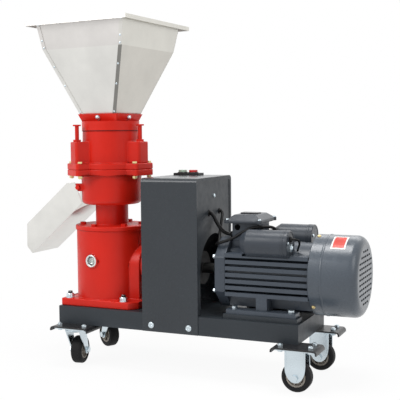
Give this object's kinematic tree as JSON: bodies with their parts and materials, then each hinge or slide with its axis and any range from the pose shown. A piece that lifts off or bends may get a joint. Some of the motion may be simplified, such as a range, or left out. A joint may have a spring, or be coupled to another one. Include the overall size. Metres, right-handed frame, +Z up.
{
  "type": "feed pellet mill",
  "caption": "Flat-die feed pellet mill: hopper, roller pressing head and gearbox on a wheeled tray, driven by a foot-mounted motor through a guarded coupling.",
  "frame": {"origin": "centre of the footprint at floor level, under the wheels", "axes": "+X along the tray from the pressing head to the motor, -Y is the front with the sight glass, +Z up"},
  "size_m": [0.962, 0.352, 0.933],
  "materials": {
    "red_paint": "satin sprayed coat over castings",
    "grey_powder": "fine textured powder coat",
    "motor_paint": "satin sprayed coat over castings",
    "black_plate": "semi gloss black",
    "stainless": "fine brushed sheet",
    "zinc": "bright zinc plated",
    "yellow_zinc": "yellow passivated zinc",
    "bare_steel": "machined and lightly oiled",
    "core_steel": "stacked sheet steel",
    "tyre": "matte black rubber",
    "hub_plastic": "moulded grey-beige",
    "black_plastic": "moulded",
    "green_plastic": "moulded pale green",
    "red_plastic": "moulded red",
    "spider_rubber": "cast elastomer",
    "lead_rubber": "black cable sheath",
    "sight": "plated ring with a clear window"
  },
  "bodies": {
    "machine": {"base_tray": "grey_powder", "caster_brackets": "black_plate", "base_fasteners": "zinc", "caster_frames": "zinc", "gearbox_housing": "red_paint", "sight_glass": "sight", "input_cover": "red_paint", "discharge_pot": "red_paint", "painted_fasteners": "red_paint", "pressing_chamber": "red_paint", "chamber_bolts": "yellow_zinc", "roller_carrier": "bare_steel", "shaft_bearings": "bare_steel", "hopper_ring": "red_paint", "hopper_front": "stainless", "hopper_right": "stainless", "hopper_back": "stainless", "hopper_left": "stainless", "hopper_fasteners": "zinc", "discharge_chute": "stainless", "guard_wrap": "grey_powder", "guard_side_panels": "grey_powder", "guard_screws": "grey_powder", "switch_box": "black_plastic", "motor_frame": "motor_paint", "stator_core": "core_steel", "motor_end_bells": "motor_paint", "fan_cover": "motor_paint", "terminal_box": "motor_paint", "terminal_lid": "motor_paint", "capacitor_covers": "motor_paint", "motor_rails": "grey_powder", "motor_bolts": "zinc", "motor_leads": "lead_rubber"},
    "drive_line": {"input_shaft": "bare_steel", "coupling_hubs": "bare_steel", "coupling_spider": "spider_rubber", "motor_rotor": "bare_steel", "cooling_fan": "black_plastic"},
    "press_shaft": {"main_shaft": "bare_steel", "crown_gear": "bare_steel", "flat_die": "bare_steel"},
    "roller_a": {"pressing_roller_a": "bare_steel"},
    "roller_b": {"pressing_roller_b": "bare_steel"},
    "roller_c": {"pressing_roller_c": "bare_steel"},
    "adjuster_a": {"adjusting_bolt_a": "red_paint"},
    "adjuster_b": {"adjusting_bolt_b": "red_paint"},
    "adjuster_c": {"adjusting_bolt_c": "red_paint"},
    "swivel_fl": {"caster_fork_fl": "zinc"},
    "swivel_bl": {"caster_fork_bl": "zinc"},
    "wheel_fl": {"wheel_hub_fl": "hub_plastic", "tyre_fl": "tyre"},
    "wheel_bl": {"wheel_hub_bl": "hub_plastic", "tyre_bl": "tyre"},
    "wheel_fr": {"wheel_hub_fr": "hub_plastic", "tyre_fr": "tyre"},
    "wheel_br": {"wheel_hub_br": "hub_plastic", "tyre_br": "tyre"},
    "start_key": {"start_button": "green_plastic"},
    "stop_key": {"stop_button": "red_plastic"}
  },
  "joints": [
    {"name": "motor_spin", "type": "hinge", "parent": "machine", "child": "drive_line", "pos_m": [0, 0, 0.27], "axis": [1, 0, 0], "continuous": true},
    {"name": "shaft_spin", "type": "hinge", "parent": "machine", "child": "press_shaft", "pos_m": [-0.238, 0, 0.27], "axis": [0, 0, 1], "continuous": true},
    {"name": "roller_a_spin", "type": "hinge", "parent": "machine", "child": "roller_a", "pos_m": [-0.238, 0, 0.5643], "axis": [0.9914, -0.1305, 0], "continuous": true},
    {"name": "roller_b_spin", "type": "hinge", "parent": "machine", "child": "roller_b", "pos_m": [-0.238, 0, 0.5643], "axis": [-0.3827, 0.9239, 0], "continuous": true},
    {"name": "roller_c_spin", "type": "hinge", "parent": "machine", "child": "roller_c", "pos_m": [-0.238, 0, 0.5643], "axis": [-0.6088, -0.7934, 0], "continuous": true},
    {"name": "adjuster_a_slide", "type": "slide", "parent": "machine", "child": "adjuster_a", "axis": [0, 0, 1], "range_m": [0, 0.012]},
    {"name": "adjuster_b_slide", "type": "slide", "parent": "machine", "child": "adjuster_b", "axis": [0, 0, 1], "range_m": [0, 0.012]},
    {"name": "adjuster_c_slide", "type": "slide", "parent": "machine", "child": "adjuster_c", "axis": [0, 0, 1], "range_m": [0, 0.012]},
    {"name": "swivel_fl_turn", "type": "hinge", "parent": "machine", "child": "swivel_fl", "pos_m": [-0.287, -0.124, 0.1], "axis": [0, 0, 1], "continuous": true},
    {"name": "swivel_bl_turn", "type": "hinge", "parent": "machine", "child": "swivel_bl", "pos_m": [-0.287, 0.087, 0.1], "axis": [0, 0, 1], "continuous": true},
    {"name": "wheel_fl_roll", "type": "hinge", "parent": "swivel_fl", "child": "wheel_fl", "pos_m": [-0.29221, -0.09446, 0.0375], "axis": [-0.9848, -0.1736, 0], "continuous": true},
    {"name": "wheel_bl_roll", "type": "hinge", "parent": "swivel_bl", "child": "wheel_bl", "pos_m": [-0.31298, 0.102, 0.0375], "axis": [-0.5, -0.866, 0], "continuous": true},
    {"name": "wheel_fr_roll", "type": "hinge", "parent": "machine", "child": "wheel_fr", "pos_m": [0.343, -0.124, 0.0375], "axis": [0, 1, 0], "continuous": true},
    {"name": "wheel_br_roll", "type": "hinge", "parent": "machine", "child": "wheel_br", "pos_m": [0.343, 0.087, 0.0375], "axis": [0, 1, 0], "continuous": true},
    {"name": "start_press", "type": "slide", "parent": "machine", "child": "start_key", "axis": [0, 0, -1], "range_m": [0, 0.003], "stiffness_N_per_m": 400, "springref_m": -0.002},
    {"name": "stop_press", "type": "slide", "parent": "machine", "child": "stop_key", "axis": [0, 0, -1], "range_m": [0, 0.003], "stiffness_N_per_m": 400, "springref_m": -0.002}
  ],
  "couplings": [
    {"joint": "shaft_spin", "follows": "motor_spin", "ratio": -0.33333},
    {"joint": "roller_a_spin", "follows": "motor_spin", "ratio": -0.59259},
    {"joint": "roller_b_spin", "follows": "motor_spin", "ratio": -0.59259},
    {"joint": "roller_c_spin", "follows": "motor_spin", "ratio": -0.59259}
  ]
}
